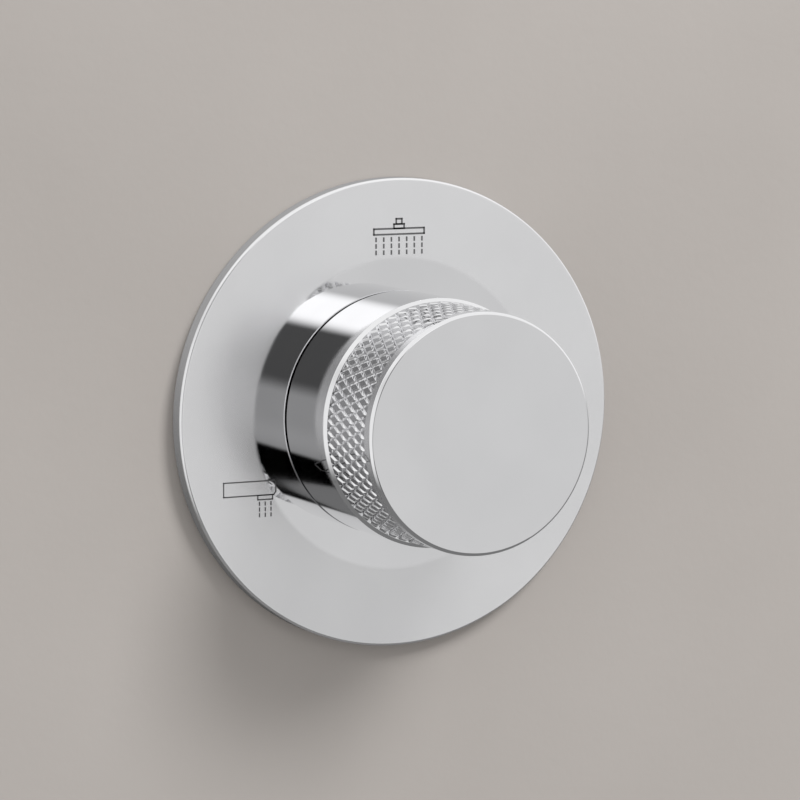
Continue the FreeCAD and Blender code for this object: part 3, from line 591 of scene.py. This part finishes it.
# Spout: its arm with a cut corner, its mouth and the jets under it
SPOUT_LINE = 0.22
SPOUT_LEFT = -32.2
SPOUT_RIGHT = -22.7
SPOUT_BOTTOM = -12.5
SPOUT_TOP = -10.1
SPOUT_CUT_ACROSS = 0.4
SPOUT_CUT_UP = 0.5
MOUTH_LEFT = -26.0
MOUTH_RIGHT = -23.3
MOUTH_BOTTOM = -13.25
SPOUT_JETS = 3
SPOUT_JET_PITCH = 1.05
SPOUT_JET_TOP = -13.6
SPOUT_DASH = 0.7
SPOUT_DASH_GAP = 0.25


def stroke(bm, line, start, end):
    """A thin raised line on the plate's face."""
    start = Vector(start)
    end = Vector(end)
    along = (end - start).normalized()
    side = Vector((-along.y, along.x)) * line / 2
    outline = (start - side, end - side, end + side, start + side)
    low, high = (
        [bm.verts.new(Vector((p.x, -height, p.y)) * MM) for p in outline]
        for height in (PLATE_FRONT - SIGN_HEIGHT, PLATE_FRONT + SIGN_HEIGHT))
    bridge(bm, low, high)
    bm.faces.new(low)
    bm.faces.new(high)


def loop(bm, line, corners):
    """Lines round a closed outline, lapped at the corners."""
    for start, end in zip(corners, corners[1:] + corners[:1]):
        lap = (Vector(end) - Vector(start)).normalized() * line / 2
        stroke(bm, line, Vector(start) - lap, Vector(end) + lap)


def box_loop(bm, line, left, right, bottom, top):
    """Lines round an upright rectangle."""
    loop(bm, line, [(left, bottom), (right, bottom), (right, top), (left, top)])


def jets(bm, line, middle, pitch, count, top, dash, gap):
    """Columns of falling dashes, side by side about a middle."""
    for column in range(count):
        across = middle + pitch * (column - (count - 1) / 2)
        for step in range(JET_DASHES):
            start = top - step * (dash + gap)
            stroke(bm, line, (across, start), (across, start - dash))


def make_rain_sign():
    """The overhead shower at 12 o'clock."""
    bm = bmesh.new()
    bottom = RAIN_BOTTOM
    for half, height in RAIN_BOXES:
        box_loop(bm, RAIN_LINE, RAIN_ACROSS - half, RAIN_ACROSS + half, bottom, bottom + height)
        bottom += height
    jets(bm, RAIN_LINE, RAIN_ACROSS, RAIN_JET_PITCH, RAIN_JETS, RAIN_JET_TOP, RAIN_DASH, RAIN_DASH_GAP)
    dressed(solid("rain_sign", bm, SIGN_GREY), "valve", "chrome")


def make_spout_sign():
    """The spout at 8 o'clock."""
    bm = bmesh.new()
    loop(bm, SPOUT_LINE, [
        (SPOUT_LEFT, SPOUT_BOTTOM),
        (SPOUT_RIGHT - SPOUT_CUT_ACROSS, SPOUT_BOTTOM),
        (SPOUT_RIGHT, SPOUT_BOTTOM + SPOUT_CUT_UP),
        (SPOUT_RIGHT, SPOUT_TOP),
        (SPOUT_LEFT, SPOUT_TOP),
    ])
    box_loop(bm, SPOUT_LINE, MOUTH_LEFT, MOUTH_RIGHT, MOUTH_BOTTOM, SPOUT_BOTTOM)
    middle = (MOUTH_LEFT + MOUTH_RIGHT) / 2
    jets(bm, SPOUT_LINE, middle, SPOUT_JET_PITCH, SPOUT_JETS, SPOUT_JET_TOP, SPOUT_DASH, SPOUT_DASH_GAP)
    dressed(solid("spout_sign", bm, SIGN_GREY), "valve", "chrome")


# Valve body and sleeve

def threaded(bm, radius, depth, pitch, start, end):
    """A screw thread that runs out at both ends; returns its first and last ring."""
    rows = round((end - start) / pitch * THREAD_STEPS)
    rings = []
    for row in range(rows + 1):
        height = start + (end - start) * row / rows
        fade = min(1.0, (height - start) / pitch, (end - height) / pitch)
        ring = []
        for index in range(THREAD_SEGMENTS):
            angle = 2 * math.pi * index / THREAD_SEGMENTS
            wave = 1 - math.cos(2 * math.pi * (height / pitch - index / THREAD_SEGMENTS))
            ring.append(bm.verts.new(at(radius + depth * fade * wave / 2, angle, height)))
        rings.append(ring)
    for first, second in zip(rings, rings[1:]):
        bridge(bm, first, second)
    return rings[0], rings[-1]


def make_sleeve():
    """Brass tube with a fine thread along its outside for the plate nut."""
    bm = bmesh.new()
    bore = SLEEVE_R - SLEEVE_WALL
    edge = SLEEVE_R - EDGE_BREAK
    thread_back = SLEEVE_BACK + END_LAND
    thread_front = SLEEVE_FRONT - END_LAND
    first, last = threaded(bm, SLEEVE_R, -SLEEVE_THREAD, SLEEVE_PITCH, thread_back, thread_front)
    back, front = (
        lathe(bm, [(bore, end), (edge, end), (SLEEVE_R, end + inward * EDGE_BREAK)], THREAD_SEGMENTS)
        for end, inward in ((SLEEVE_BACK, 1), (SLEEVE_FRONT, -1)))
    bridge(bm, back[-1], first)
    bridge(bm, last, front[-1])
    bridge(bm, front[0], back[0])
    sleeve = solid("threaded_sleeve", bm, MATERIALS["turned_brass"])
    dressed(sleeve, "valve", "turned_brass", "extension_sleeve")


def body_blank():
    """The rough casting, with stock left on every face that is machined later."""
    bm = bmesh.new()
    shoulder = SLEEVE_BACK + STOCK
    rod(bm, BLOCK_R, BLOCK_BACK, shoulder)
    rod(bm, NECK_R + STOCK, SEAT, NECK_FRONT + STOCK)
    for height, turn, _ in PORTS:
        port = bmesh.new()
        rod(port, PORT_BOSS_R, 0, PORT_REACH)
        add(bm, port, towards(height, turn))
    ear_back = SLEEVE_BACK - EAR_THICKNESS
    for angle in EAR_ANGLES:
        ear = bmesh.new()
        rod(ear, EAR_R, ear_back, shoulder)
        add(bm, ear, Matrix.Translation(at(EAR_PITCH_R, angle, 0)))
        middle = Matrix.Translation(at(EAR_PITCH_R / 2, angle, (ear_back + shoulder) / 2))
        size = Matrix.Diagonal(Vector((EAR_PITCH_R, shoulder - ear_back, 2 * EAR_R, 0)) * MM)
        size[3][3] = 1.0
        bmesh.ops.create_cube(bm, size=1.0, matrix=middle @ Matrix.Rotation(-angle, 4, "Y") @ size)
    return bm


def collars():
    """Hexagons on the ports, with eased edges, a little longer than the ports."""
    bm = bmesh.new()
    back = PORT_REACH - COLLAR_LENGTH
    for height, turn, _ in PORTS:
        collar = bmesh.new()
        rings = lathe(collar, [
            (COLLAR_R - COLLAR_CHAMFER, back),
            (COLLAR_R, back + COLLAR_CHAMFER / 2),
            (COLLAR_R, PORT_REACH + STOCK),
        ], COLLAR_SIDES)
        collar.faces.new(rings[0])
        collar.faces.new(rings[-1])
        bmesh.ops.bevel(collar, geom=collar.edges[:], offset=COLLAR_EDGE * MM, segments=4, profile=0.5,
                        affect="EDGES")
        add(bm, collar, towards(height, turn))
    return bm


def turned_faces():
    """Cutter for the cartridge bore, the neck, and the shoulder that the sleeve and ears share."""
    bm = bmesh.new()
    lathe(bm, [
        (0, SEAT),
        (CARTRIDGE_BORE_R, SEAT),
        (CARTRIDGE_BORE_R, GLAND_BACK),
        (GLAND_BORE_R, GLAND_BACK),
        (GLAND_BORE_R, NECK_FRONT),
        (NECK_R, NECK_FRONT),
        (NECK_R, SLEEVE_BACK),
        (PLATE_R, SLEEVE_BACK),
        (PLATE_R, 0),
        (0, 0),
    ], THREAD_SEGMENTS)
    return bm


def ear_holes():
    """Cutter for the bolt holes, each with a faced seat behind."""
    bm = bmesh.new()
    seat = SLEEVE_BACK - EAR_THICKNESS + FACED_DEPTH
    for angle in EAR_ANGLES:
        hole = bmesh.new()
        lathe(hole, [
            (0, seat - EAR_R),
            (FACED_R, seat - EAR_R),
            (FACED_R, seat),
            (EAR_HOLE_R, seat),
            (EAR_HOLE_R, SLEEVE_BACK + OVERCUT),
            (0, SLEEVE_BACK + OVERCUT),
        ], HOLE_SEGMENTS)
        add(bm, hole, Matrix.Translation(at(EAR_PITCH_R, angle, 0)))
    return bm


def port_cutter(height, turn, way):
    """Cutter for one port: its face, its countersunk pipe thread and the way behind."""
    start, way_r = way
    bm = bmesh.new()
    thread_back = PORT_REACH - THREAD_LENGTH
    inner = lathe(bm, [(0, start), (way_r, start), (way_r, thread_back)], THREAD_SEGMENTS)
    first, last = threaded(bm, THREAD_R, THREAD_DEPTH, THREAD_PITCH, thread_back, PORT_REACH - COUNTERSINK)
    clear = PORT_REACH + 4 * STOCK
    outer = lathe(bm, [
        (THREAD_R + COUNTERSINK, PORT_REACH),
        (PORT_REACH, PORT_REACH),
        (PORT_REACH, clear),
        (0, clear),
    ], THREAD_SEGMENTS)
    bridge(bm, inner[-1], first)
    bridge(bm, last, outer[0])
    bmesh.ops.transform(bm, matrix=towards(height, turn), verts=bm.verts)
    return bm


def port_drills():
    """Cutter for the two ways from the cartridge's seat down to the outlets."""
    bm = bmesh.new()
    for angle in DRILL_ANGLES:
        drill = bmesh.new()
        rod(drill, DRILL_R, OUTLET_HEIGHT, SEAT + OVERCUT, HOLE_SEGMENTS)
        add(bm, drill, Matrix.Translation(at(DRILL_PITCH_R, angle, 0)))
    return bm


def make_body():
    """Brass casting with soft edges, then its machined bores, threads and faces."""
    cast = MATERIALS["cast_brass"]
    turned = MATERIALS["turned_brass"]
    body = solid("cast_body", body_blank(), cast)
    applied(body, "REMESH", mode="VOXEL", voxel_size=CAST_GRID * MM)
    applied(body, "SMOOTH", factor=0.5, iterations=CAST_SMOOTHING)
    carve(body, solid("collars", collars(), cast), "UNION")
    carve(body, solid("turned_faces", turned_faces(), turned))
    carve(body, solid("ear_holes", ear_holes(), turned))
    for port in PORTS:
        carve(body, solid("port", port_cutter(*port), turned))
    carve(body, solid("port_drills", port_drills(), turned))
    dressed(body, "valve", "cast_brass", "valve_body")


# CAD nodes that are shown as they are

def dress_nodes():
    """Give every node of the frame the finish of its slot."""
    for row in frame["record"]["subparts"]:
        node = frame["nodes"][row["node"]]
        node.data.materials.clear()
        node.data.materials.append(MATERIALS[row["material_slot"]])


# Stage

WALL_REACH = 1600.0
WALL_LAP = 0.4
WALL_DEPTH = 0.2
FLOOR_DROP = 1500.0
WALL_TONES = ((0.398, 0.370, 0.348), (0.445, 0.416, 0.393))
FLOOR_MIRRORED = 0.2

# How bright the wall glows in mirrors, which is painted light: brighter with height from WALL_LOW to
# WALL_HIGH, and less where it meets the plate, which is a painted contact shadow
WALL_LOW = -50.0
WALL_HIGH = 50.0
WALL_MIRRORED = ((0.17, 0.2), (0.36, 0.3), (0.50, 0.55), (0.65, 1.0))
WALL_PAINTED_CONTACT_SHADE = 0.33
CONTACT_START = 1.05 * PLATE_R
CONTACT_END = 1.17 * PLATE_R


def graded(tree, source, low, high, stops):
    """Grey levels along a value that runs from low to high."""
    ranged = tree.nodes.new("ShaderNodeMapRange")
    ranged.inputs["From Min"].default_value = low
    ranged.inputs["From Max"].default_value = high
    ramp = tree.nodes.new("ShaderNodeValToRGB")
    elements = ramp.color_ramp.elements
    while len(elements) < len(stops):
        elements.new(0.5)
    for element, (position, level) in zip(elements, stops):
        element.position = position
        element.color = (level, level, level, 1.0)
    tree.links.new(source, ranged.inputs["Value"])
    tree.links.new(ranged.outputs["Result"], ramp.inputs["Fac"])
    return ramp.outputs["Color"]


def shown_by(tree, factor, first, second):
    """Show one shader or another on the surface, by a factor, and return the mix."""
    mixed = tree.nodes.new("ShaderNodeMixShader")
    tree.links.new(factor, mixed.inputs["Fac"])
    tree.links.new(first, mixed.inputs[1])
    tree.links.new(second, mixed.inputs[2])
    tree.links.new(mixed.outputs["Shader"], tree.nodes["Material Output"].inputs["Surface"])
    return mixed.outputs["Shader"]


def plaster(name):
    """Pale plaster with its own look in mirrors: the material, its node tree, that look and its shader."""
    material, tree, shader = principled(name, Roughness=0.8)
    tree.links.new(blended(tree, noise(tree, 9.0, 6.0), *WALL_TONES), shader.inputs["Base Color"])
    bumped(tree, shader, noise(tree, 500.0), 0.2, 0.2)
    mirrored = tree.nodes.new("ShaderNodeEmission")
    in_mirrors = tree.nodes.new("ShaderNodeLightPath").outputs["Is Glossy Ray"]
    front = shown_by(tree, in_mirrors, shader.outputs["BSDF"], mirrored.outputs["Emission"])
    return material, tree, mirrored, front


def wall_material():
    """Plaster that has no back, so that the body behind it can be seen from there. In mirrors it glows with
    painted light, brighter with height, with a painted contact shadow next to the plate.
    """
    material, tree, mirrored, front = plaster("pale_wall")
    place = tree.nodes.new("ShaderNodeTexCoord")
    parts = tree.nodes.new("ShaderNodeSeparateXYZ")
    tree.links.new(place.outputs["Object"], parts.inputs["Vector"])
    # Painted light: the glow in mirrors grows brighter with height
    levels = graded(tree, parts.outputs["Z"], WALL_LOW * MM, WALL_HIGH * MM, WALL_MIRRORED)
    tree.links.new(levels, mirrored.inputs["Color"])
    # Painted contact shadow: the glow in mirrors drops next to the plate
    painted_contact_shade = faded(tree, from_axis(tree), CONTACT_START * MM, CONTACT_END * MM, levels=(WALL_PAINTED_CONTACT_SHADE, 1.0))
    tree.links.new(painted_contact_shade, mirrored.inputs["Strength"])
    side = tree.nodes.new("ShaderNodeNewGeometry")
    clear = tree.nodes.new("ShaderNodeBsdfTransparent")
    shown_by(tree, side.outputs["Backfacing"], front, clear.outputs["BSDF"])
    return material


def floor_material():
    """Plaster that is dim in mirrors."""
    material, _, mirrored, _ = plaster("pale_floor")
    mirrored.inputs["Strength"].default_value = FLOOR_MIRRORED
    return material


def make_stage():
    """A wall with a hole under the plate, and a floor well below."""
    bm = bmesh.new()
    lathe(bm, [(PLATE_R - WALL_LAP, -WALL_DEPTH), (WALL_REACH, -WALL_DEPTH)])
    wall = solid("wall", bm, wall_material())
    wall.data.flip_normals()
    bm = bmesh.new()
    place = Matrix.Translation(Vector((0.0, -WALL_REACH, -FLOOR_DROP)) * MM)
    bmesh.ops.create_grid(bm, x_segments=1, y_segments=1, size=WALL_REACH * MM, matrix=place)
    solid("floor", bm, floor_material())


# Light

KEY_PLACE = (530.0, -950.0, 1050.0)
KEY_SIZE = 500.0
KEY_POWER = 17.5


def make_light():
    """One large soft box above on the right, which faces the part and doesn't show in its polished faces."""
    light = bpy.data.lights.new("key", "AREA")
    light.size = KEY_SIZE * MM
    light.energy = KEY_POWER
    key = bpy.data.objects.new("key", light)
    bpy.context.scene.collection.objects.link(key)
    key.location = Vector(KEY_PLACE) * MM
    key.rotation_euler = (-Vector(KEY_PLACE)).to_track_quat("-Z", "Y").to_euler()
    key.visible_camera = False
    key.visible_glossy = False


# Which sockets of a mix node hold its two colours and its result
MIX_FIRST = 6
MIX_SECOND = 7
MIX_RESULT = 2


def tinted(tree, factor, before, colour):
    """A colour output that gives way to a plain colour by a factor."""
    mix = tree.nodes.new("ShaderNodeMix")
    mix.data_type = "RGBA"
    mix.inputs[MIX_SECOND].default_value = (*colour, 1.0)
    tree.links.new(factor, mix.inputs["Factor"])
    tree.links.new(before, mix.inputs[MIX_FIRST])
    return mix.outputs[MIX_RESULT]


def world_card(tree, direction, before, facing, full, edge, level):
    """Mix a round soft card of one grey level, seen towards a direction, into the world's light."""
    dot = tree.nodes.new("ShaderNodeVectorMath")
    dot.operation = "DOT_PRODUCT"
    dot.inputs[1].default_value = Vector(facing).normalized()
    tree.links.new(direction, dot.inputs[0])
    shown = faded(tree, dot.outputs["Value"], math.cos(math.radians(edge)), math.cos(math.radians(full)))
    return tinted(tree, shown, before, (level, level, level))


# The studio's brightness from below to above, then its cards: direction, full and fading angle, level
STUDIO_HEIGHTS = (
    (0.0, 0.24), (0.2, 0.14), (0.30, 0.18), (0.42, 0.50), (0.58, 0.58), (0.72, 0.66), (0.84, 1.0),
)
STUDIO_CARDS = (
    ((-0.42, -0.89, 0.10), 12, 26, 0.34),
    ((-0.28, -0.90, 0.33), 11, 18, 0.08),
    ((0.107, -0.891, 0.439), 5, 13, 1.4),
    ((0.72, -0.60, -0.35), 32, 54, 0.69),
    ((-0.88, -0.42, -0.05), 12, 40, 0.95),
    ((-0.08, -0.895, -0.41), 12, 14, 0.0),
)
BACKGROUND = (0.80, 0.79, 0.78)


def make_world():
    """A plain studio: light above, dim below, with soft cards in front; a pale ground behind the part."""
    world = bpy.data.worlds.new("studio")
    bpy.context.scene.world = world
    world.use_nodes = True
    tree = world.node_tree
    place = tree.nodes.new("ShaderNodeTexCoord")
    parts = tree.nodes.new("ShaderNodeSeparateXYZ")
    direction = place.outputs["Generated"]
    tree.links.new(direction, parts.inputs["Vector"])
    light = graded(tree, parts.outputs["Z"], -1.0, 1.0, STUDIO_HEIGHTS)
    for facing, full, edge, level in STUDIO_CARDS:
        light = world_card(tree, direction, light, facing, full, edge, level)
    seen = tree.nodes.new("ShaderNodeLightPath")
    shown = tinted(tree, seen.outputs["Is Camera Ray"], light, BACKGROUND)
    tree.links.new(shown, tree.nodes["Background"].inputs["Color"])


# Camera, placed from the middle of the plate's face

CAMERA_AZIMUTH = math.radians(-25.438)
CAMERA_ELEVATION = math.radians(6.973)
CAMERA_DISTANCE = 679.5
CAMERA_YAW = math.radians(-25.467)
CAMERA_PITCH = math.radians(6.783)
CAMERA_LENS = 180.0
CAMERA_SENSOR = 36.0


def make_camera():
    """The photograph's viewpoint."""
    data = bpy.data.cameras.new("camera")
    data.lens = CAMERA_LENS
    data.sensor_width = CAMERA_SENSOR
    camera = bpy.data.objects.new("camera", data)
    bpy.context.scene.collection.objects.link(camera)
    level = CAMERA_DISTANCE * math.cos(CAMERA_ELEVATION)
    camera.location = Vector((
        level * math.sin(CAMERA_AZIMUTH),
        -PLATE_FRONT - level * math.cos(CAMERA_AZIMUTH),
        CAMERA_DISTANCE * math.sin(CAMERA_ELEVATION),
    )) * MM
    camera.rotation_euler = Euler((math.pi / 2 - CAMERA_PITCH, 0.0, CAMERA_YAW))
    bpy.context.scene.camera = camera


dress_nodes()
make_knob()
make_plate()
make_rain_sign()
make_spout_sign()
make_sleeve()
make_body()
make_stage()
make_world()
make_light()
make_camera()
bpy.context.scene.view_settings.view_transform = "Standard"
